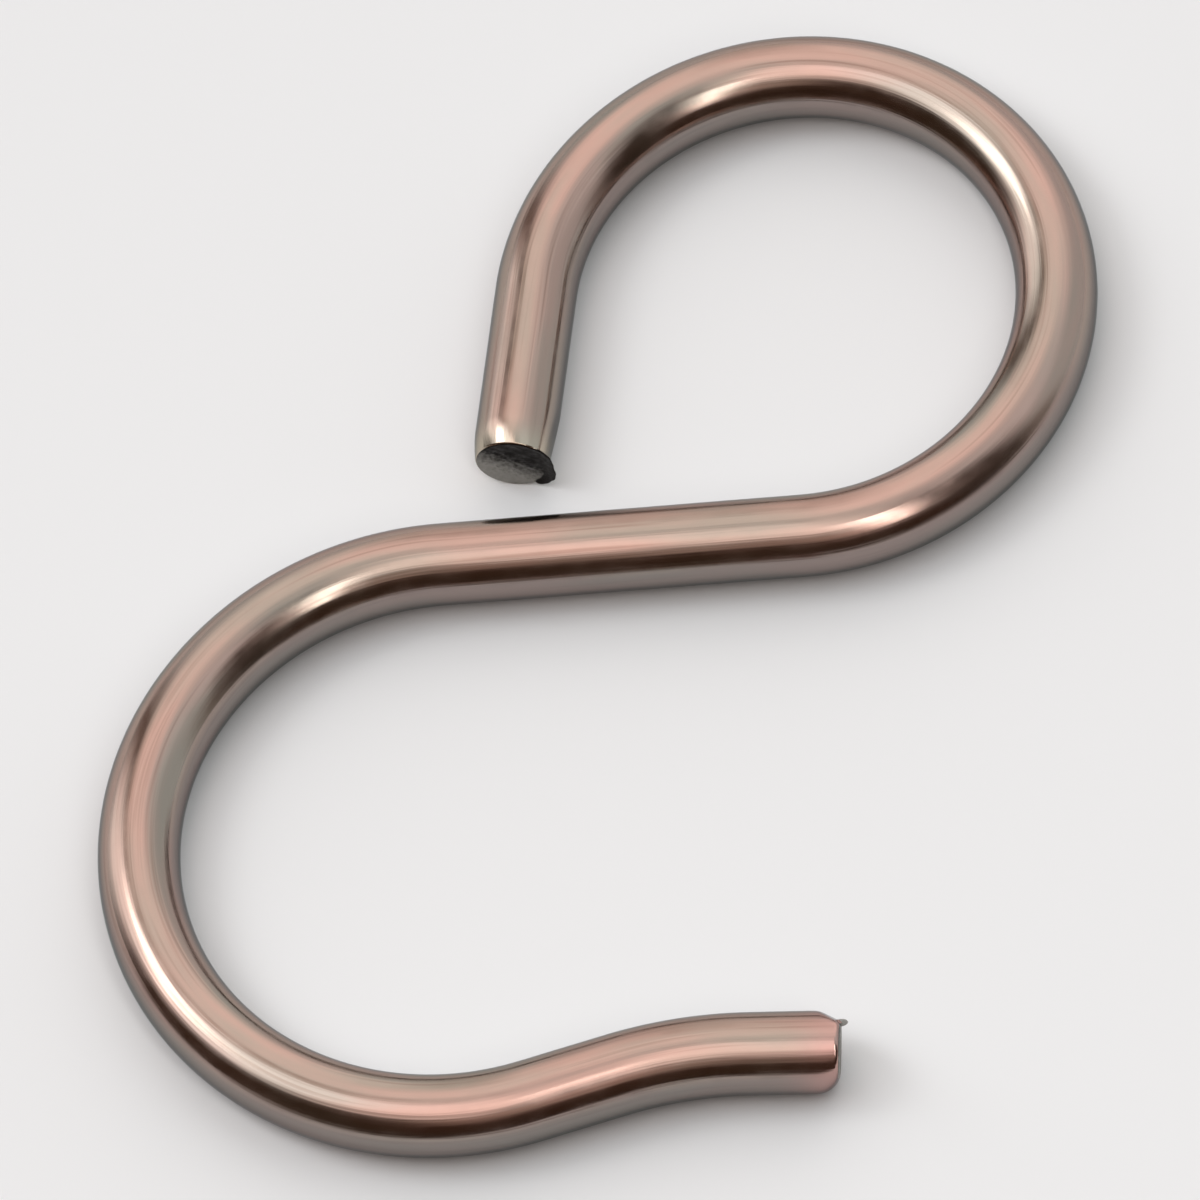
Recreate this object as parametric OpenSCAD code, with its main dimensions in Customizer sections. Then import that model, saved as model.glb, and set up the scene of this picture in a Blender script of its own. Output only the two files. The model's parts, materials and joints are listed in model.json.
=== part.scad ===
// Sliding S-hook, bent from one length of round wire.
//
// A nearly closed eye rides on a round rail and an open bowl under it carries the load.
// The hook lies flat in XY, with the middle of its wire at z = 0. The origin is the centre
// of the rail eye. +Y is the line of hang, from the centre of the bowl up to the centre of
// the eye, and +Z is square to every bend.

/* [Wire] */
// Diameter of the wire
wire_d = 4; // [3:0.1:5]

/* [Rail eye] */
// Radius of the eye, at the middle of the wire
eye_r = 12.8; // [11:0.1:16]
// How far the wire turns round the eye, in degrees
eye_turn = 261.5; // [220:0.5:270]
// Straight wire from the eye to its cut end
tail_len = 9.5; // [4:0.1:11]

/* [Shank] */
// Straight wire between the eye and the bowl
shank_len = 17.7; // [12:0.1:24]

/* [Load bowl] */
// Radius of the bowl, at the middle of the wire
bowl_r = 15; // [12:0.1:20]
// How far the wire turns round the bowl, in degrees
bowl_turn = 194; // [150:0.5:210]

/* [Tip] */
// Straight wire between the bowl and the flare
neck_len = 4.3; // [1:0.1:8]
// Radius of the flare, the gentle bend back that leads a load into the bowl
flare_r = 21; // [12:0.5:30]
// How far the wire turns in the flare, in degrees
flare_turn = 17.5; // [5:0.5:30]
// Straight wire from the flare to its cut end
tip_len = 4.3; // [3:0.1:8]

/* [Cut at the tail] */
// Depth to which the cutter pressed in the inner side of the wire
tail_press = 0.2; // [0.1:0.05:0.5]
// Length of wire that it pressed in
tail_press_len = 2.2; // [1:0.1:3]
// Radius of the edge that it rolled over on the outer side
tail_roll_r = 0.5; // [0.3:0.05:1]
// Width of the burr
tail_burr_w = 3.4; // [2:0.1:3.6]
// Thickness of the burr
tail_burr_t = 0.5; // [0.2:0.05:0.7]
// How far the burr stands out past the pressed edge
tail_burr_out = 0.48; // [0.2:0.02:0.6]
// How far the burr leans out of the plane of the cut, in degrees
tail_burr_lean = 12; // [4:1:20]
// How far round the wire the burr sits from the inner side, in degrees
tail_burr_swing = 30; // [0:1:45]

/* [Cut at the tip] */
// Depth to which the cutter pressed in the inner side of the wire
tip_press = 0.95; // [0.3:0.05:1.2]
// Length of wire that it pressed in
tip_press_len = 1.35; // [0.8:0.05:2]
// Radius of the edge that it rolled over on the outer side
tip_roll_r = 1.1; // [0.5:0.05:1.4]
// Width of the burr
tip_burr_w = 1.9; // [1:0.1:2.4]
// Thickness of the burr
tip_burr_t = 0.2; // [0.1:0.05:0.3]
// How far the burr stands out past the pressed edge
tip_burr_out = 0.3; // [0.1:0.02:0.5]

/* [Hidden] */
$fn = 96;
wire_r = wire_d / 2;
// Radius left on the rim of both cuts
rim_r = 0.15;
// Turns the hook until the centre of the bowl lies straight below the centre of the eye
lean = atan(shank_len / (eye_r + bowl_r));
// Which way a bend goes from +Y, seen from +Z
left = 1;
right = -1;
// How much too far a bend is swept before its end is cut back, in degrees
spare_turn = 3;

// The turn within 0.005 degrees of the one asked for whose cosine and sine are whole
// millionths. What is placed by it lands exactly on the end of the bend before it.
function true_turn(turn) =
    let (
        tries = [for (step = [-500 : 500]) turn + step * 1e-5],
        cosines = [for (try = tries) round(1e6 * cos(try)) / 1e6],
        sines = [for (try = tries) round(1e6 * sin(try)) / 1e6],
        errors = [for (i = [0 : len(tries) - 1]) abs(norm([cosines[i], sines[i]]) - 1)],
        best = search(min(errors), errors)[0]
    )
    atan2(sines[best], cosines[best]);

// Straight wire along +Y. What comes next starts at its far end, along +Y again.
module run(length) {
    rotate([-90, 0, 0]) cylinder(d = wire_d, h = length);
    translate([0, length, 0]) children();
}

// Bend that starts along +Y. It is swept a little too far and cut back in the frame of what
// comes next, so that the two meet face to face.
module bend(radius, turn, side) {
    next_turn = side * true_turn(turn);
    translate([-side * radius, 0, 0]) {
        difference() {
            rotate_extrude(
                angle = turn + spare_turn,
                start = side == left ? 0 : 180 - turn - spare_turn
            ) translate([radius, 0]) circle(d = wire_d);
            rotate([0, 0, next_turn]) translate([side * radius - wire_d, 0, -wire_d])
                cube([2 * wire_d, wire_d, 2 * wire_d]);
        }
        rotate([0, 0, next_turn]) translate([side * radius, 0, 0]) children();
    }
}

// Straight wire along +Y that ends in a sheared cut. The inner side, at -X, is pressed in
// towards the cut, and the edge of the outer side is rolled over.
module sheared_run(length, press, press_len, roll_r) {
    difference() {
        rotate([-90, 0, 0]) rotate_extrude() {
            square([wire_r, length - rim_r]);
            square([wire_r - rim_r, length]);
            translate([wire_r - rim_r, length - rim_r]) circle(rim_r);
        }
        translate([-wire_r, length, -wire_d]) linear_extrude(2 * wire_d)
            polygon([[-press, -2 * press_len], [2 * press, press_len], [-press, press_len]]);
        translate([wire_r - roll_r, length - roll_r, -wire_d]) linear_extrude(2 * wire_d)
            difference() {
                square(2 * roll_r);
                circle(roll_r);
            }
    }
}

// Burr on the pressed edge of a cut at y = length: the part of a thin disc that sticks out
// of the wire. It leans from the plane of the cut, and it can swing round the wire.
module burr(length, press, width, thick, out, burr_lean, swing) {
    translate([0, length, 0]) rotate([0, swing, 0]) translate([press - wire_r, 0, 0])
        rotate([0, 0, -burr_lean]) translate([width / 2 - out, 0, 0])
        rotate([-90, 0, 0]) cylinder(d = width, h = thick, center = true);
}

module tail() {
    sheared_run(tail_len, tail_press, tail_press_len, tail_roll_r);
    burr(tail_len, tail_press, tail_burr_w, tail_burr_t, tail_burr_out, tail_burr_lean,
        tail_burr_swing);
}

// The burr on the tip runs on along the slope that the cutter pressed in.
module tip() {
    sheared_run(tip_len, tip_press, tip_press_len, tip_roll_r);
    burr(tip_len, tip_press, tip_burr_w, tip_burr_t, tip_burr_out,
        180 - atan(tip_press_len / tip_press), 0);
}

module hook_wire() {
    color("#be9787") rotate([0, 0, lean]) translate([0, -eye_r, 0]) {
        rotate([0, 0, -90]) bend(eye_r, eye_turn, left) tail();
        rotate([0, 0, 90]) run(shank_len) bend(bowl_r, bowl_turn, left)
            run(neck_len) bend(flare_r, flare_turn, right) tip();
    }
}

hook_wire();
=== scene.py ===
import json
import math

import bpy
import numpy as np
from bpy.props import FloatProperty, FloatVectorProperty, IntProperty, PointerProperty
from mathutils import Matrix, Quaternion, Vector


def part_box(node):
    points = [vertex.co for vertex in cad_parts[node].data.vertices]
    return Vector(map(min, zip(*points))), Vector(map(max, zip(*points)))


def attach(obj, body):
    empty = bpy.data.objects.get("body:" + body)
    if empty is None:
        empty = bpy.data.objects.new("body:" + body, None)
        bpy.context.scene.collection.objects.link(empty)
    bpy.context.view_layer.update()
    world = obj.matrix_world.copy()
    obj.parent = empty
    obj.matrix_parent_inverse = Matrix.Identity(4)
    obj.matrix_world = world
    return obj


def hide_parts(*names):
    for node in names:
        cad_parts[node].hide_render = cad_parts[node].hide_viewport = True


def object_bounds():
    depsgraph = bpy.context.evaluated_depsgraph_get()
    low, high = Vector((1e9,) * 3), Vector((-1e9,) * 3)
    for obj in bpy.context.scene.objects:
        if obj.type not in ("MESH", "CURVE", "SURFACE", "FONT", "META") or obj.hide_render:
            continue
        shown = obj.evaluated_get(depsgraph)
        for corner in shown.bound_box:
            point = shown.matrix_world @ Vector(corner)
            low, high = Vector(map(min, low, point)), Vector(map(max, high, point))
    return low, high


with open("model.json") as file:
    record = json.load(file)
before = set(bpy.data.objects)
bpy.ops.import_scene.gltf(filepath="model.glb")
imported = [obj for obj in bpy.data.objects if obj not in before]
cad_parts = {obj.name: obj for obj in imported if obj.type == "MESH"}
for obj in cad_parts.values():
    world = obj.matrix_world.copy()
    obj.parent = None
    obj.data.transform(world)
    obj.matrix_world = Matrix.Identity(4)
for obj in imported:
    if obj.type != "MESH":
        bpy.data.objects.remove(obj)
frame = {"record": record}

bl_info = {
    "name": "Sliding S-hook",
    "version": (1, 0, 0),
    "blender": (4, 5, 0),
    "location": "3D View > Sidebar > S-hook",
    "description": "A hook bent from copper-plated wire, with sheared ends, in a small studio",
    "category": "Add Mesh",
}

MM = 0.001

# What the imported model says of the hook: the wire lies flat on its own radius, the eye is at the
# top of the box and the bowl at its left, and the load hangs from the centre of the bowl.
CAD_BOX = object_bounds()
WIRE_LOW, WIRE_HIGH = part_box("hook_wire")
MOUNTS = {mount["name"]: Vector(mount["pos_m"]) for mount in frame["record"]["mounts"]}
WIRE_R = -WIRE_LOW.z
EYE_R = WIRE_HIGH.y - WIRE_R
BOWL_R = -WIRE_LOW.x - WIRE_R
BOWL_DROP = (MOUNTS["rail_eye"] - MOUNTS["load_bowl"]).length
SHANK_LEN = math.sqrt(BOWL_DROP**2 - (EYE_R + BOWL_R) ** 2)


def from_hex(code):
    """The linear red, green and blue of an sRGB hex value such as "#bb9c90"."""
    srgb = np.array([int(code[i : i + 2], 16) for i in (1, 3, 5)]) / 255
    linear = np.where(srgb <= 0.04045, srgb / 12.92, ((srgb + 0.055) / 1.055) ** 2.4)
    return tuple(float(channel) for channel in linear)


# ---------------------------------------------------------------------------------------------
# What a user would change
# ---------------------------------------------------------------------------------------------


def colour_property(name, description, code):
    return FloatVectorProperty(
        name=name, description=description, default=from_hex(code), subtype="COLOR", min=0, max=1
    )


def length_property(name, description, millimetres):
    return FloatProperty(
        name=name, description=description, default=millimetres * MM, unit="LENGTH", precision=5
    )


def share_property(name, description, share):
    return FloatProperty(
        name=name, description=description, default=share, subtype="FACTOR", min=0, max=1
    )


def angle_property(name, description, degrees):
    return FloatProperty(
        name=name, description=description, default=math.radians(degrees), subtype="ANGLE"
    )


def plain_property(name, description, number):
    return FloatProperty(name=name, description=description, default=number, min=0)


class HookWire(bpy.types.PropertyGroup):
    """The path of the wire, from the cut at the tail, round the eye and the bowl, to the tip"""

    wire_r: length_property("Wire radius", "Half the diameter of the wire", WIRE_R / MM)
    tail_len: length_property("Tail", "Straight wire between the cut and the eye", 9.5)
    eye_r: length_property("Eye radius", "Radius of the eye, to the wire's middle", EYE_R / MM)
    eye_turn: angle_property("Eye turn", "How far the wire turns round the eye", 261.5)
    shank_len: length_property("Shank", "Straight wire between eye and bowl", SHANK_LEN / MM)
    bowl_r: length_property("Bowl radius", "Radius of the bowl, to the wire's middle", BOWL_R / MM)
    bowl_turn: angle_property("Bowl turn", "How far the wire turns round the bowl", 194)
    neck_len: length_property("Neck", "Straight wire between the bowl and the flare", 4.3)
    flare_r: length_property("Flare radius", "Radius of the bend back at the tip", 21)
    flare_turn: angle_property("Flare turn", "How far the wire turns in the flare", 17.5)
    tip_len: length_property("Tip", "Straight wire between the flare and the cut", 4.3)
    ring_gap: length_property("Ring gap", "Distance between the rings of the mesh", 0.35)
    ring_points: IntProperty(
        name="Ring points", description="Points in each ring", default=120, min=12
    )


class TailCut(bpy.types.PropertyGroup):
    """The shape that the cutter left at the tail"""

    slant: angle_property("Slant", "How far the cut leans, its front past its back", -3)
    overrun: length_property("Overrun", "How far the cut is past the plain wire's end", 0)
    press: length_property("Press", "Depth to which the inner side is pressed in", 0.22)
    press_len: length_property("Press length", "Length of wire that is pressed in", 3)
    press_swing: angle_property("Press swing", "Turn of the pressed side to the front", 0)
    roll: length_property("Roll", "Depth to which the outer side is drawn over", 0.26)
    roll_len: length_property("Roll length", "Length of wire that is drawn over", 1.5)
    roll_bend: share_property("Roll bend", "From an even slope at 0 to a round corner at 1", 0)
    roll_swing: angle_property("Roll swing", "Turn of the drawn side to the front", 50)
    roll_focus: plain_property("Roll focus", "How narrow the drawn side is", 4)
    rim_r: length_property("Rim radius", "Radius left on the edge of the cut", 0.1)
    burr_out: length_property("Burr", "How far the burr stands out of the wire", 0.46)
    burr_rise: length_property("Burr rise", "How far the burr reaches past the cut", 0.24)
    burr_half: angle_property("Burr half width", "Run of the burr each way round the wire", 54)
    burr_swing: angle_property("Burr swing", "Turn of the burr to the front", -6)
    burr_point: plain_property("Burr point", "From blunt at 0 to keen at 2", 0.5)
    burr_burnt: share_property("Burnt burr", "How dark the burr is", 1)
    face_burnt: share_property("Burnt face", "How dark the middle of the face is", 0.6)
    face_shade: share_property("Face shade", "How much darker the face is at its front", 1)
    drag: share_property("Drag", "How thin the cutter dragged the plating", 0.8)
    drag_len: length_property("Drag length", "How far from the cut it did so", 1.1)


class TipCut(bpy.types.PropertyGroup):
    """The shape that the cutter left at the tip"""

    slant: angle_property("Slant", "How far the cut leans, its front past its back", 5)
    overrun: length_property("Overrun", "How far the cut is past the plain wire's end", 0.13)
    press: length_property("Press", "Depth to which the inner side is pressed in", 0.58)
    press_len: length_property("Press length", "Length of wire that is pressed in", 0.95)
    press_swing: angle_property("Press swing", "Turn of the pressed side to the front", 28)
    roll: length_property("Roll", "Depth to which the outer side is drawn over", 0.95)
    roll_len: length_property("Roll length", "Length of wire that is drawn over", 1.1)
    roll_bend: share_property("Roll bend", "From an even slope at 0 to a round corner at 1", 1)
    roll_swing: angle_property("Roll swing", "Turn of the drawn side to the front", -26)
    roll_focus: plain_property("Roll focus", "How narrow the drawn side is", 12)
    rim_r: length_property("Rim radius", "Radius left on the edge of the cut", 0.22)
    burr_out: length_property("Burr", "How far the burr stands out of the wire", 0.07)
    burr_rise: length_property("Burr rise", "How far the burr reaches past the cut", 0.37)
    burr_half: angle_property("Burr half width", "Run of the burr each way round the wire", 24)
    burr_swing: angle_property("Burr swing", "Turn of the burr to the front", 30)
    burr_point: plain_property("Burr point", "From blunt at 0 to keen at 2", 0.4)
    burr_burnt: share_property("Burnt burr", "How dark the burr is", 0)
    face_burnt: share_property("Burnt face", "How dark the middle of the face is", 0.2)
    face_shade: share_property("Face shade", "How much darker the face is at its front", 0.2)
    drag: share_property("Drag", "How bright the cutter rubbed the copper", 0.6)
    drag_len: length_property("Drag length", "How far from the cut it did so", 1.6)


class HookFinish(bpy.types.PropertyGroup):
    """Colours of the plating and of the steel under it, and the grey of a painted shade"""

    copper: colour_property("Copper", "Pink copper of the plating", "#bb9c90")
    tan: colour_property("Tan", "Greyer tan that the copper drifts to along the wire", "#a89a8e")
    tarnish: colour_property("Tarnish", "Brown left in the drawing lines", "#7d6054")
    # Painted shade: grey on the wire's sides and underside, for the shaded floor they reflect.
    painted_shade: colour_property("Painted shade", "Grey of thin plating, at the sides and underneath", "#7a7877")
    wiped: colour_property("Wiped", "Plating that the cutter dragged thin, at the tail", "#c3b8a6")
    rubbed: colour_property("Rubbed", "Copper that the cutter rubbed bright, at the tip", "#bf958e")
    steel: colour_property("Steel", "Torn steel of the cut", "#928f89")
    burnt: colour_property("Burnt", "Steel that the cutter smeared and darkened", "#211d1b")


class HookStage(bpy.types.PropertyGroup):
    """The camera and the floor of the studio"""

    aim: FloatVectorProperty(
        name="Aim",
        description="Point of the hook that the camera looks at",
        default=(-0.128 * MM, -18.397 * MM, 0),
        subtype="XYZ",
        unit="LENGTH",
        precision=5,
    )
    view_azimuth: angle_property("Azimuth", "Camera's turn round the hook, -Y towards +X", 43.05)
    view_elevation: angle_property("Elevation", "Angle of the view above the floor", 60.92)
    view_roll: angle_property("Roll", "How far the camera leans to its left", -13.79)
    view_distance: length_property("Distance", "From the camera to the hook", 987.7)
    lens: FloatProperty(
        name="Lens", description="Focal length", default=612.2, min=1, unit="CAMERA"
    )
    floor_colour: colour_property("Floor", "Matt paper under the hook", "#eff0f1")


# ---------------------------------------------------------------------------------------------
# The wire
# ---------------------------------------------------------------------------------------------

CUT_REACH = 3 * MM  # how far from its cut a sheared end differs from plain wire
SIDE_ROWS, RIM_ROWS, FACE_ROWS = 40, 17, 16
PRESS_SOFTNESS = 0.12  # softness of the pressed edge at the cut, as a share of its length
BURR_BLUNTNESS = 0.6  # power of the cosine that shapes the burr: below 1 it is blunter
BURR_WAVES = ((0.08, 9, 2), (0.04, 23, 1))  # its ragged edge: height, waves round the wire, start
BURNT_BURR = 1 / 3  # share of the burr's height from which it is as dark as it gets
PLATED_RIM = 0.5  # share of the rim that keeps its plating, where there is no burr
SHADE_TURN = math.radians(30)  # turn of a face's dark side from the front towards the inner side

# Relief of torn steel: a slight hollow, and pairs of crossed waves. Each pair has its height in
# mm, then for both of its waves the radians per mm outwards and upwards, and the start.
TORN_HOLLOW = 0.05  # mm
TORN_WAVES = (
    (0.022, (5.3, 1.9, 0), (-2.2, 4.1, 0)),
    (0.012, (11.7, -3.1, 1), (4.7, 9.3, 0)),
    (0.006, (21, 17, 0), (-13, 19, 2)),
)
TORN_EDGE = 6  # power by which the relief fades out at the edge of the face


def bent_wire(wire, along, across, up):
    """Bends points of a straight wire to the hook's path.

    The path is a chain of runs. In a run of length l that turns by t, the heading d past its start
    has turned by t d / l, and the point there lies a chord of d sin(h) / h from the start, where h
    is half of that turn and the chord points half way between the two headings. Past both ends the
    path runs on straight. The chain is then turned and moved until the eye's centre is the origin
    and the bowl's centre is straight below it. A point keeps its distance to the right of the
    middle line and above it.
    """
    runs = np.array([
        (wire.tail_len, 0),
        (wire.eye_r * wire.eye_turn, -wire.eye_turn),
        (wire.shank_len, 0),
        (wire.bowl_r * wire.bowl_turn, wire.bowl_turn),
        (wire.neck_len, 0),
        (wire.flare_r * wire.flare_turn, -wire.flare_turn),
        (wire.tip_len, 0),
    ])
    lengths, turns = runs.T
    ends = np.cumsum(lengths)
    headings = np.cumsum(turns) - turns
    chords = lengths * np.sinc(turns / 2 / np.pi) * np.exp(1j * (headings + turns / 2))
    corners = np.cumsum(chords) - chords

    run = np.clip(np.searchsorted(ends, along), 0, len(runs) - 1)
    past = along - (ends - lengths)[run]
    half = past * (turns / lengths)[run] / 2
    place = corners[run] + past * np.sinc(half / np.pi) * np.exp(1j * (headings[run] + half))
    place = place - 1j * across * np.exp(1j * (headings[run] + 2 * half))

    eye_centre = corners[1] - 1j * wire.eye_r
    lean = math.atan2(wire.shank_len, wire.eye_r + wire.bowl_r)
    place = (place - eye_centre) * np.exp(1j * (math.pi + lean + wire.eye_turn))
    return np.stack([place.real, place.imag, up], axis=-1)


def wire_length(wire):
    """Length of the wire's middle line: the straight runs, and radius times turn of each bend."""
    straight = wire.tail_len + wire.shank_len + wire.neck_len + wire.tip_len
    hooked = wire.eye_r * wire.eye_turn + wire.bowl_r * wire.bowl_turn
    return straight + hooked + wire.flare_r * wire.flare_turn


def torn_relief(x, z):
    """Height of the torn steel at a point of a cut's face, all in mm: a slight hollow, with the
    products of two crossed sine waves on it, 0.2 to 1.4 mm long."""
    relief = -TORN_HOLLOW
    for height, *pair in TORN_WAVES:
        first, second = (np.sin(out * x + up * z + start) for out, up, start in pair)
        relief = relief + height * first * second
    return relief


def end_side(wire_r, cut, round_wire, past):
    """The side of a sheared end: the distance to the outer side and the height, at each distance
    past the cut and each angle round the wire.

    The outer side is drawn over, by a parabola or by a quarter of an ellipse, by as much as a
    power of the cosine of half the angle from its middle says. The inner side is pressed to a
    plane: where the round side stands p proud of that plane, it goes in by (p + sqrt(p^2 + s^2))
    / 2, which is p well past the plane and 0 well before it, and changes from one to the other
    over the softness s.
    """
    u = np.clip(1 + past / cut.roll_len, 0, 1)
    slope, corner = u**2, 1 - np.sqrt(1 - u**2)
    drawn = np.abs(np.cos((round_wire - cut.roll_swing) / 2)) ** cut.roll_focus
    radius = wire_r - cut.roll * drawn * (slope + cut.roll_bend * (corner - slope))
    x, z = radius * np.cos(round_wire), radius * np.sin(round_wire)

    inner_x, inner_z = -math.cos(cut.press_swing), math.sin(cut.press_swing)
    plane = wire_r - cut.press * (1 + past / cut.press_len)
    softness = PRESS_SOFTNESS * cut.press_len * (1 + past / CUT_REACH)
    proud = x * inner_x + z * inner_z - plane
    pressed = (proud + np.sqrt(proud**2 + softness**2)) / 2
    return x - pressed * inner_x, z - pressed * inner_z


def burr_share(cut, round_wire):
    """The burr's height at each angle round the wire, as a share of its full height: a cosine
    that falls from 1 at its middle to 0 at both ends, made blunt and ragged."""
    middle = np.pi - cut.burr_swing
    from_middle = (round_wire - middle + np.pi) % (2 * np.pi) - np.pi
    smooth = np.cos(np.clip(from_middle / cut.burr_half, -1, 1) * np.pi / 2) ** BURR_BLUNTNESS
    ragged = sum(high * np.sin(waves * round_wire + start) for high, waves, start in BURR_WAVES)
    return smooth * (1 + ragged)


def sheared_end(wire_r, cut, round_wire):
    """The end of a straight wire as rows of points, from CUT_REACH before the cut to its middle.

    round_wire is the angle of each column from the outer side of the bend, towards the front.
    Returned are the distance past the cut, the distance to the outer side and the height, one row
    after the other, then which points are bare steel and how burnt the steel is:
    - side rows: the side of the end, closer together towards the cut
    - rim rows: the side up to the cut, drawn in by a quarter circle round the edge, and pushed out
      and past the cut into the burr
    - face rows: the edge shrunk towards the middle, with the relief of torn steel
    The floor flattens whatever would be lower than the wire. The cut's overrun and slant then move
    each row along, by a share that grows as a square from 0 at the first row to 1 at the cut.
    Steel is bare from the middle of the rim on, and from the rim's start where the burr is. It is
    burnt more towards the front and the inner side, and the burr is burnt by its own amount.
    """
    step = np.linspace(0, 1, SIDE_ROWS, endpoint=False)[:, None]
    side_past = -CUT_REACH + (CUT_REACH - cut.rim_r) * (1 - (1 - step) ** 2) + 0 * round_wire
    side_x, side_z = end_side(wire_r, cut, round_wire, side_past)

    corner = np.linspace(0, np.pi / 2, RIM_ROWS)[:, None]
    rim_past = cut.rim_r * (np.sin(corner) - 1) + 0 * round_wire
    rim_x, rim_z = end_side(wire_r, cut, round_wire, rim_past)
    burr = burr_share(cut, round_wire)
    crest = np.sin(2 * corner) ** cut.burr_point * burr
    rim_out = crest * cut.burr_out - cut.rim_r * (1 - np.cos(corner))
    rim_scale = 1 + rim_out / np.hypot(rim_x, rim_z)
    rim_x, rim_z = rim_x * rim_scale, rim_z * rim_scale
    rim_past = rim_past + crest * cut.burr_rise

    shrink = np.linspace(1, 0, FACE_ROWS + 1)[1:-1, None]
    face_x, face_z = rim_x[-1] * shrink, rim_z[-1] * shrink
    face_past = torn_relief(face_x / MM, face_z / MM) * MM * (1 - shrink**TORN_EDGE)

    past = np.concatenate([side_past, rim_past, face_past])
    x = np.concatenate([side_x, rim_x, face_x])
    z = np.maximum(np.concatenate([side_z, rim_z, face_z]), -wire_r)
    near_cut = np.clip(1 + past / CUT_REACH, 0, 1) ** 2
    past = past + (cut.overrun + z * math.tan(cut.slant)) * near_cut

    row = np.arange(len(past))[:, None]
    in_rim = np.clip((row - SIDE_ROWS) / RIM_ROWS, 0, 1)
    bare = (in_rim > 0) & (in_rim > PLATED_RIM - burr)
    towards_dark = (z * math.cos(SHADE_TURN) - x * math.sin(SHADE_TURN)) / wire_r
    burnt = cut.face_burnt + cut.face_shade * towards_dark
    on_burr = np.clip(burr / BURNT_BURR, 0, 1) * (in_rim < 1)
    burnt = burnt + (cut.burr_burnt - burnt) * on_burr
    return past, x, z, bare, np.clip(burnt, 0, 1)


def straight_wire(wire, tail, tip):
    """The whole wire before it is bent, round between its two ends: rows of points along it,
    across it and up, which of them are bare steel, and how burnt. A row is a ring, and its columns
    go round the wire from the right-hand side."""
    total = wire_length(wire)
    round_wire = np.linspace(0, 2 * np.pi, wire.ring_points, endpoint=False)
    tail_past, tail_x, tail_z, tail_bare, tail_burnt = sheared_end(
        wire.wire_r, tail, np.pi - round_wire
    )
    tip_past, tip_x, tip_z, tip_bare, tip_burnt = sheared_end(wire.wire_r, tip, round_wire)

    first, last = -tail_past[0, 0], total + tip_past[0, 0]
    rings = round((last - first) / wire.ring_gap)
    body = np.linspace(first, last, rings + 1)[1:-1, None] + 0 * round_wire
    along = np.concatenate([-tail_past[::-1], body, total + tip_past])
    across = np.concatenate([-tail_x[::-1], wire.wire_r * np.cos(round_wire) + 0 * body, tip_x])
    up = np.concatenate([tail_z[::-1], wire.wire_r * np.sin(round_wire) + 0 * body, tip_z])
    bare = np.concatenate([tail_bare[::-1], np.zeros(body.shape, bool), tip_bare])
    burnt = np.concatenate([tail_burnt[::-1], 0 * body, tip_burnt])
    return along, across, up, bare, burnt


def closed_tube_faces(rows, columns):
    """Four-sided faces between the rings, row by row, and a fan of triangles at each pole. The two
    poles are the last two vertices. All faces point outwards."""
    row = np.arange(rows - 1)[:, None] * columns
    here = np.arange(columns)
    there = (here + 1) % columns
    corners = [row + here, row + columns + here, row + columns + there, row + there]
    quads = np.stack(corners, axis=-1).reshape(-1, 4)
    first_pole, last_pole = rows * columns, rows * columns + 1
    last_row = (rows - 1) * columns
    first_fan = np.stack([np.full(columns, first_pole), here, there], axis=-1)
    last_fan = np.stack([np.full(columns, last_pole), last_row + there, last_row + here], axis=-1)
    return quads, first_fan, last_fan


def store(mesh, name, kind, values):
    """Keeps a number or a vector for each vertex, for the finishes to read."""
    attribute = mesh.attributes.new(name, kind, "POINT")
    field = "vector" if kind == "FLOAT_VECTOR" else "value"
    attribute.data.foreach_set(field, values.astype(np.float32).ravel())


def cutter_mark(cut, from_cut):
    """How hard the cutter rubbed the plating at a distance d from its cut, as drag times
    exp(-(d / l)^2)."""
    return cut.drag * np.exp(-((from_cut / cut.drag_len) ** 2))


def make_hook_wire(wire, tail, tip):
    """The bent wire as one closed mesh, with attributes for the patterns that follow it: where
    each point was on the straight wire, in mm, how burnt bare steel is, and how far the cutter
    dragged the plating thin at the tail and rubbed it bright at the tip."""
    along, across, up, bare, burnt = straight_wire(wire, tail, tip)
    rows, columns = along.shape
    total = wire_length(wire)
    relief = torn_relief(0, 0) * MM
    tail_pole = (-tail.overrun - relief, 0, 0)
    tip_pole = (total + tip.overrun + relief, 0, 0)
    straight = np.stack([along, across, up], axis=-1).reshape(-1, 3)
    straight = np.vstack([straight, tail_pole, tip_pole])
    places = bent_wire(wire, *straight.T)

    quads, first_fan, last_fan = closed_tube_faces(rows, columns)
    mesh = bpy.data.meshes.new("hook_wire_plated")
    faces = quads.tolist() + first_fan.tolist() + last_fan.tolist()
    mesh.from_pydata(places.tolist(), [], faces)
    bare_quads = (bare[:-1] & bare[1:]).ravel()
    bare_faces = np.concatenate([bare_quads, np.ones(2 * columns, bool)])
    mesh.polygons.foreach_set("material_index", bare_faces.astype(np.int32))
    mesh.shade_smooth()
    store(mesh, "straight_wire_mm", "FLOAT_VECTOR", straight / MM)
    store(mesh, "burnt", "FLOAT", np.append(burnt, [tail.face_burnt, tip.face_burnt]))
    store(mesh, "dragged_thin", "FLOAT", cutter_mark(tail, straight[:, 0]))
    store(mesh, "rubbed_bright", "FLOAT", cutter_mark(tip, total - straight[:, 0]))
    mesh.validate()
    made = bpy.data.objects.new("hook_wire_plated", mesh)
    bpy.context.scene.collection.objects.link(made)
    return made


# ---------------------------------------------------------------------------------------------
# Finishes
# ---------------------------------------------------------------------------------------------

# The sockets of a Mix node that mixes colours share their names with others, so they go by number.
# So do those of the maths nodes: a multiply-add is input 0 times input 1, plus input 2.
SHARE, UNDER, OVER, MIXED = 0, 6, 7, 2


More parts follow.
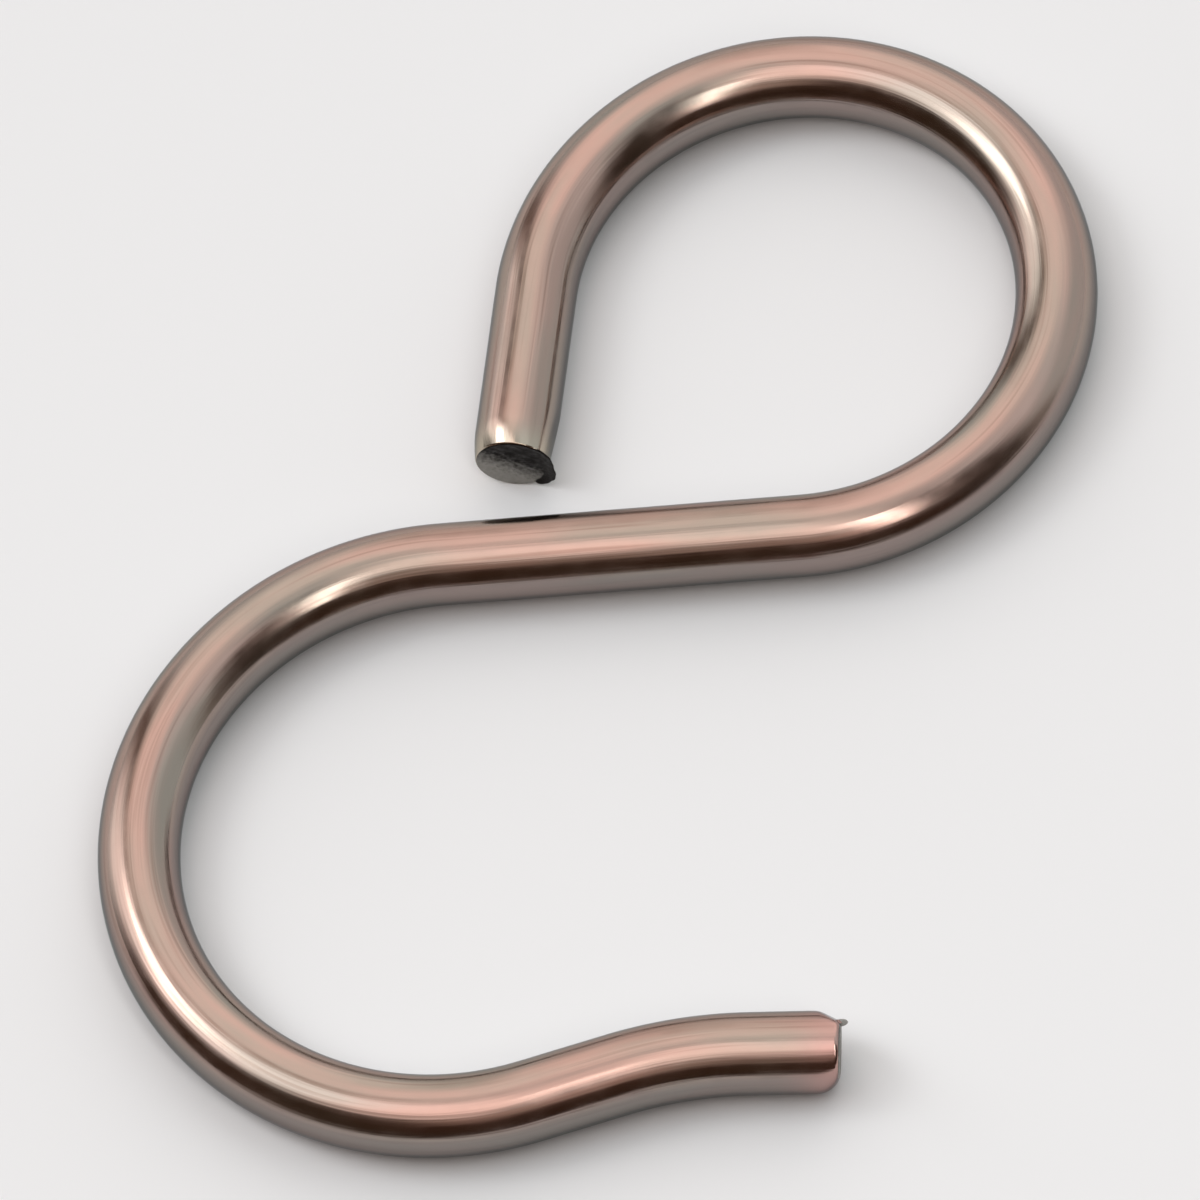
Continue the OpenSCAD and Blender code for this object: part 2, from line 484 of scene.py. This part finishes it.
def add_node(tree, kind, settings=None, values=None, links=None):
    """Adds a node with its own settings, the values of its sockets and the links into them."""
    made = tree.nodes.new(kind)
    for name, setting in (settings or {}).items():
        setattr(made, name, setting)
    for socket, value in (values or {}).items():
        made.inputs[socket].default_value = value
    for socket, source in (links or {}).items():
        tree.links.new(source, made.inputs[socket])
    return made


def new_finish(name, metallic):
    """A material with one Principled shader, ready for its patterns."""
    material = bpy.data.materials.new(name)
    material.use_nodes = True
    tree = material.node_tree
    tree.nodes.clear()
    shader = add_node(tree, "ShaderNodeBsdfPrincipled", values={"Metallic": metallic})
    add_node(tree, "ShaderNodeOutputMaterial", links={"Surface": shader.outputs["BSDF"]})
    return material, tree, shader


def rgba(colour):
    return (*colour, 1.0)


def plate_patterns(tree, place):
    """Noise stretched along the wire, one for each pattern of the plating.

    Real die lines are a few hundredths of a millimetre wide. That is too fine to show, so both
    kinds of line are drawn several times as wide.
    """
    # Length along the wire and width across it, in mm, and how many finer octaves it has.
    sizes = {
        "die_lines": (16.0, 0.34, 2.0),
        "fine_lines": (9.0, 0.12, 1.0),
        "plate_drift": (11.0, 1.6, 2.0),
        "stains": (1.7, 0.9, 3.0),
    }
    noise = {}
    for name, (length, width, detail) in sizes.items():
        scaled = add_node(
            tree,
            "ShaderNodeVectorMath",
            settings={"operation": "MULTIPLY"},
            values={1: (1 / length, 1 / width, 1 / width)},
            links={0: place},
        )
        noise[name] = add_node(
            tree,
            "ShaderNodeTexNoise",
            settings={"name": name},
            values={"Scale": 1.0, "Detail": detail, "Roughness": 0.5},
            links={"Vector": scaled.outputs["Vector"]},
        ).outputs["Fac"]
    return noise


def plate_colour(tree, finish, place, noise):
    """Copper that drifts to tan, with brown in the die lines, painted shade in grey at the sides
    and underneath, and marked by the cutter at both ends."""
    drift = add_node(
        tree,
        "ShaderNodeMapRange",
        values={"From Min": 0.36, "From Max": 0.64, "To Min": 0.0, "To Max": 1.0},
        links={"Value": noise["plate_drift"]},
    )
    plate = add_node(
        tree,
        "ShaderNodeMix",
        settings={"data_type": "RGBA"},
        values={UNDER: rgba(finish.copper), OVER: rgba(finish.tan)},
        links={SHARE: drift.outputs["Result"]},
    )
    grooves = add_node(
        tree,
        "ShaderNodeMapRange",
        values={"From Min": 0.42, "From Max": 0.26, "To Min": 0.0, "To Max": 0.4},
        links={"Value": noise["die_lines"]},
    )
    lined = add_node(
        tree,
        "ShaderNodeMix",
        settings={"data_type": "RGBA"},
        values={OVER: rgba(finish.tarnish)},
        links={SHARE: grooves.outputs["Result"], UNDER: plate.outputs[MIXED]},
    )

    # Painted shade: the wire's sides and underside go grey, for the shaded floor that they reflect.
    # The copper is full from about 1.5 mm above the middle of the wire, and the grey from 0.9 mm
    # below that. The drift of the plating moves that edge up and down by up to 0.2 mm.
    height = add_node(tree, "ShaderNodeSeparateXYZ", links={"Vector": place}).outputs["Z"]
    edge_drift_mm = 0.9
    uneven = add_node(
        tree,
        "ShaderNodeMath",
        settings={"operation": "MULTIPLY_ADD"},
        values={1: edge_drift_mm},
        links={0: noise["plate_drift"], 2: height},
    )
    low = add_node(
        tree,
        "ShaderNodeMapRange",
        settings={"interpolation_type": "SMOOTHSTEP"},
        values={"From Min": 2.0, "From Max": 1.1, "To Min": 0.0, "To Max": 0.7},
        links={"Value": uneven.outputs["Value"]},
    )
    shaded_plate = add_node(
        tree,
        "ShaderNodeMix",
        settings={"data_type": "RGBA"},
        values={OVER: rgba(finish.painted_shade)},
        links={SHARE: low.outputs["Result"], UNDER: lined.outputs[MIXED]},
    )

    # The cutter dragged the plating thin at the tail, and rubbed it bright at the tip.
    ended = shaded_plate
    for mark, colour in (("dragged_thin", finish.wiped), ("rubbed_bright", finish.rubbed)):
        amount = add_node(tree, "ShaderNodeAttribute", settings={"attribute_name": mark})
        ended = add_node(
            tree,
            "ShaderNodeMix",
            settings={"data_type": "RGBA"},
            values={OVER: rgba(colour)},
            links={SHARE: amount.outputs["Fac"], UNDER: ended.outputs[MIXED]},
        )
    return ended.outputs[MIXED]


def antique_copper_plate(finish):
    """Antique copper, plated on cold-drawn steel wire, then polished and lacquered.

    The plating is some micrometres thick, so the die lines of the drawn wire show through it as
    fine streaks along the wire. Polish leaves the crests bright and pink, and a little brown
    tarnish stays in the grooves. Its colour drifts between pink copper and a greyer tan over some
    millimetres.
    """
    material, tree, shader = new_finish("antique_copper_plate", metallic=1.0)
    place = add_node(
        tree, "ShaderNodeAttribute", settings={"attribute_name": "straight_wire_mm"}
    ).outputs["Vector"]
    noise = plate_patterns(tree, place)
    tree.links.new(plate_colour(tree, finish, place, noise), shader.inputs["Base Color"])

    # Tarnished plating under lacquer stays grey where it is seen edge on, and bare metal wouldn't.
    edge_tint = (0.50, 0.54, 0.56)
    shader.inputs["Specular Tint"].default_value = rgba(edge_tint)

    rough = add_node(
        tree,
        "ShaderNodeMapRange",
        values={"From Min": 0.3, "From Max": 0.7, "To Min": 0.15, "To Max": 0.25},
        links={"Value": noise["stains"]},
    )
    tree.links.new(rough.outputs["Result"], shader.inputs["Roughness"])

    # The die lines are drawn 12 micrometres deep, deeper than real ones so that they show, and the
    # fine lines about a third of that.
    line_depth, fine_share = 0.012 * MM, 0.35
    lines = add_node(
        tree,
        "ShaderNodeMath",
        settings={"operation": "MULTIPLY_ADD"},
        values={1: fine_share},
        links={0: noise["fine_lines"], 2: noise["die_lines"]},
    )
    bump = add_node(
        tree,
        "ShaderNodeBump",
        values={"Strength": 1.0, "Distance": line_depth},
        links={"Height": lines.outputs["Value"]},
    )
    tree.links.new(bump.outputs["Normal"], shader.inputs["Normal"])
    return material


def sheared_steel(finish):
    """Low-carbon steel as a shear leaves it: torn grey grain where the wire broke, and darker,
    smeared metal where the blade rubbed, towards the front and the burr."""
    material, tree, shader = new_finish("sheared_steel", metallic=1.0)
    place = add_node(
        tree, "ShaderNodeAttribute", settings={"attribute_name": "straight_wire_mm"}
    ).outputs["Vector"]

    # The steel's own grain is about 0.02 mm wide, too fine to show, so it is drawn as tears ten
    # times as wide and 0.03 mm deep.
    tear_mm, tear_depth = 0.22, 0.03 * MM
    grain = add_node(
        tree,
        "ShaderNodeTexNoise",
        values={"Scale": 1 / tear_mm, "Detail": 4.0, "Roughness": 0.6},
        links={"Vector": place},
    ).outputs["Fac"]
    patchiness = 0.7
    burnt = add_node(tree, "ShaderNodeAttribute", settings={"attribute_name": "burnt"})
    patchy = add_node(
        tree,
        "ShaderNodeMath",
        settings={"operation": "MULTIPLY_ADD"},
        values={1: patchiness},
        links={0: grain, 2: burnt.outputs["Fac"]},
    )
    smear = add_node(
        tree,
        "ShaderNodeMapRange",
        values={"From Min": 0.45, "From Max": 1.1, "To Min": 0.0, "To Max": 1.0},
        links={"Value": patchy.outputs["Value"]},
    )
    colour = add_node(
        tree,
        "ShaderNodeMix",
        settings={"data_type": "RGBA"},
        values={UNDER: rgba(finish.steel), OVER: rgba(finish.burnt)},
        links={SHARE: smear.outputs["Result"]},
    )
    tree.links.new(colour.outputs[MIXED], shader.inputs["Base Color"])
    rough = add_node(
        tree,
        "ShaderNodeMapRange",
        values={"From Min": 0.3, "From Max": 0.7, "To Min": 0.36, "To Max": 0.62},
        links={"Value": grain},
    )
    tree.links.new(rough.outputs["Result"], shader.inputs["Roughness"])
    bump = add_node(
        tree,
        "ShaderNodeBump",
        values={"Strength": 0.6, "Distance": tear_depth},
        links={"Height": grain},
    )
    tree.links.new(bump.outputs["Normal"], shader.inputs["Normal"])
    return material


def matt_paper(stage):
    """Uncoated white card: matt, with almost no sheen."""
    material, _, shader = new_finish("matt_paper", metallic=0.0)
    shader.inputs["Base Color"].default_value = rgba(stage.floor_colour)
    shader.inputs["Roughness"].default_value = 0.9
    shader.inputs["Specular IOR Level"].default_value = 0.1
    return material


# ---------------------------------------------------------------------------------------------
# The stage
# ---------------------------------------------------------------------------------------------

FLOOR_HALF = 3.0  # m, half the side of the sheet of card
SENSOR_MM = 36.0  # width of the camera's sensor

# The walls and ceiling as the hook sees them, laid one over the other like coats of paint: the
# azimuth and elevation of the middle of each patch, half its width and half its height (degrees),
# how softly it ends (a share of its size), and its brightness in red, green and blue.
WALLS = (0.62, 0.68, 0.70)
DOME_PATCHES = (
    ("back wall", 121, 44, 32, 31, 0.45, (1.36, 1.27, 1.23)),
    ("right wall", 33, 60, 24, 15, 0.6, (0.82, 0.90, 0.93)),
    ("ceiling", -112, 67, 27, 25, 0.2, (1.80, 1.60, 1.55)),
    ("left wall", -175, 27, 14, 19, 0.6, (1.60, 1.60, 1.60)),
    ("dark room", -80, 8, 82, 51, 0.24, (0.06, 0.035, 0.022)),
    ("door step", 16, 8, 12, 20, 0.6, (0.30, 0.28, 0.26)),
    ("doorway", 2, 28, 13, 47, 0.4, (0.05, 0.04, 0.03)),
    ("strip's glow", -50, 48, 17, 9, 0.7, (0.50, 0.40, 0.35)),
    ("key's glow", -154, 57, 18, 22, 0.45, (1.9, 1.95, 2.0)),
    ("wall edge", 130, 20, 4, 24, 0.6, (0.80, 0.74, 0.70)),
    ("lamp stand", 164, 23, 5, 33, 0.6, (0.15, 0.11, 0.09)),
    ("lamp arm", 168, 51, 5, 5, 0.7, (0.28, 0.21, 0.17)),
    ("ceiling beam", 158, 64, 3, 17, 0.8, (0.75, 0.62, 0.55)),
)

# Softboxes round the hook: azimuth and elevation (degrees), distance, width and height (m), and
# how bright the face is.
LAMPS = {
    "key": (-164, 50, 0.8, 0.27, 0.26, 2.8),
    "strip": (-28, 58, 0.35, 0.045, 0.22, 4.5),
}
LAMP_COLOUR = "#fffdfa"


def towards(azimuth, elevation):
    """Unit vector at an azimuth from +X towards +Y and an elevation above the floor (degrees)."""
    a, e = math.radians(azimuth), math.radians(elevation)
    return Vector((math.cos(a) * math.cos(e), math.sin(a) * math.cos(e), math.sin(e)))


def upright(direction):
    """The turn that points local Z along a direction, with local X level and local Y upwards."""
    return direction.to_track_quat("Z", "Y")


def hook_centre():
    """The middle of the hook's box, which the lamps stand round."""
    low, high = CAD_BOX
    return (low + high) / 2


def place_camera(stage):
    """A long lens that looks down at the hook, turned a little so that the hook leans in view."""
    data = bpy.data.cameras.new("camera")
    data.lens = stage.lens
    data.sensor_width = SENSOR_MM
    camera = bpy.data.objects.new("camera", data)
    bpy.context.scene.collection.objects.link(camera)
    back = towards(math.degrees(stage.view_azimuth) - 90, math.degrees(stage.view_elevation))
    camera.location = stage.aim + back * stage.view_distance
    camera.rotation_mode = "QUATERNION"
    camera.rotation_quaternion = upright(back) @ Quaternion((0, 0, 1), stage.view_roll)
    bpy.context.scene.camera = camera


def softbox(name, azimuth, elevation, distance, width, height, radiance):
    """An area lamp that faces the hook. Its power is pi times its area and times how bright its
    face is."""
    data = bpy.data.lights.new(name, "AREA")
    data.shape = "RECTANGLE"
    data.size, data.size_y = width, height
    data.energy = radiance * math.pi * width * height
    data.color = from_hex(LAMP_COLOUR)
    lamp = bpy.data.objects.new(name, data)
    direction = towards(azimuth, elevation)
    lamp.location = hook_centre() + direction * distance
    lamp.rotation_mode = "QUATERNION"
    lamp.rotation_quaternion = upright(direction)
    lamp.visible_camera = False
    bpy.context.scene.collection.objects.link(lamp)


def lay_floor(material):
    """A sheet of card under the hook, much wider than the view."""
    mesh = bpy.data.meshes.new("floor")
    corners = [(-1, -1), (1, -1), (1, 1), (-1, 1)]
    places = [(x * FLOOR_HALF, y * FLOOR_HALF, WIRE_LOW.z) for x, y in corners]
    mesh.from_pydata(places, [], [(0, 1, 2, 3)])
    mesh.materials.append(material)
    floor = bpy.data.objects.new("floor", mesh)
    bpy.context.scene.collection.objects.link(floor)


def patch_size(half_angle):
    """Half size of an egg round a point of the unit sphere, whose third half size is 1, so that it
    cuts the sphere at this angle from the point: (sin a / s)^2 + (1 - cos a)^2 = 1."""
    a = math.radians(half_angle)
    return math.sin(a) / math.sqrt(1 - (1 - math.cos(a)) ** 2)


def studio_dome():
    """The white walls and ceiling of the studio, with the dark room behind the camera.

    Each patch is an egg round a point of the sky. A patch covers a share 3 x^2 - 2 x^3 of what is
    behind it, where x falls from 1 inside the egg to 0 outside it, evenly across its soft edge.
    """
    world = bpy.data.worlds.new("studio_dome")
    bpy.context.scene.world = world
    world.use_nodes = True
    tree = world.node_tree
    tree.nodes.clear()
    direction = add_node(tree, "ShaderNodeTexCoord").outputs["Generated"]
    painted = add_node(tree, "ShaderNodeRGB").outputs["Color"]
    painted.default_value = rgba(WALLS)
    for name, azimuth, elevation, half_width, half_height, softness, brightness in DOME_PATCHES:
        middle = towards(azimuth, elevation)
        egg = add_node(
            tree,
            "ShaderNodeMapping",
            settings={"label": name, "vector_type": "TEXTURE"},
            values={
                "Location": middle,
                "Rotation": upright(middle).to_euler(),
                "Scale": (patch_size(half_width), patch_size(half_height), 1),
            },
            links={"Vector": direction},
        )
        from_middle = add_node(
            tree,
            "ShaderNodeVectorMath",
            settings={"operation": "LENGTH"},
            links={0: egg.outputs["Vector"]},
        )
        share = add_node(
            tree,
            "ShaderNodeMapRange",
            settings={"interpolation_type": "SMOOTHSTEP"},
            values={"From Min": 1 + softness, "From Max": 1 - softness},
            links={"Value": from_middle.outputs["Value"]},
        )
        painted = add_node(
            tree,
            "ShaderNodeMix",
            settings={"data_type": "RGBA"},
            values={OVER: rgba(brightness)},
            links={SHARE: share.outputs["Result"], UNDER: painted},
        ).outputs[MIXED]
    light = add_node(
        tree, "ShaderNodeBackground", values={"Strength": 1.0}, links={"Color": painted}
    )
    add_node(tree, "ShaderNodeOutputWorld", links={"Surface": light.outputs["Background"]})


# ---------------------------------------------------------------------------------------------
# Operators and panel
# ---------------------------------------------------------------------------------------------


class HOOK_OT_wire(bpy.types.Operator):
    """Makes the bent wire with its sheared ends, in place of the plain CAD node"""

    bl_idname = "hook.wire"
    bl_label = "Hook wire"

    def execute(self, context):
        scene = context.scene
        made = make_hook_wire(scene.hook_wire, scene.hook_tail_cut, scene.hook_tip_cut)
        made.data.materials.append(antique_copper_plate(scene.hook_finish))
        made.data.materials.append(sheared_steel(scene.hook_finish))
        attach(made, "root")
        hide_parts("hook_wire")
        return {"FINISHED"}


class HOOK_OT_stage(bpy.types.Operator):
    """Sets up the camera, the floor, the soft lamps and the walls round them"""

    bl_idname = "hook.stage"
    bl_label = "Studio"

    def execute(self, context):
        scene = context.scene
        place_camera(scene.hook_stage)
        lay_floor(matt_paper(scene.hook_stage))
        studio_dome()
        for name, lamp in LAMPS.items():
            softbox(name, *lamp)
        scene.view_settings.view_transform = "Standard"
        return {"FINISHED"}


class HOOK_PT_panel(bpy.types.Panel):
    """Lists the steps that make the hook and its studio, and their settings"""

    bl_idname = "HOOK_PT_panel"
    bl_label = "Sliding S-hook"
    bl_space_type = "VIEW_3D"
    bl_region_type = "UI"
    bl_category = "S-hook"

    def draw(self, context):
        for step in STEPS:
            self.layout.operator(step.bl_idname)
        for name, group in GROUPS.items():
            box = self.layout.box()
            for field in group.__annotations__:
                box.prop(getattr(context.scene, name), field)


STEPS = (HOOK_OT_wire, HOOK_OT_stage)
GROUPS = {
    "hook_wire": HookWire,
    "hook_tail_cut": TailCut,
    "hook_tip_cut": TipCut,
    "hook_finish": HookFinish,
    "hook_stage": HookStage,
}
CLASSES = (*GROUPS.values(), *STEPS, HOOK_PT_panel)


def register():
    for made in CLASSES:
        bpy.utils.register_class(made)
    for name, group in GROUPS.items():
        setattr(bpy.types.Scene, name, PointerProperty(type=group))


def unregister():
    for name in GROUPS:
        delattr(bpy.types.Scene, name)
    for made in reversed(CLASSES):
        bpy.utils.unregister_class(made)


def main():
    register()
    bpy.ops.hook.wire()
    bpy.ops.hook.stage()


if __name__ == "__main__":
    main()
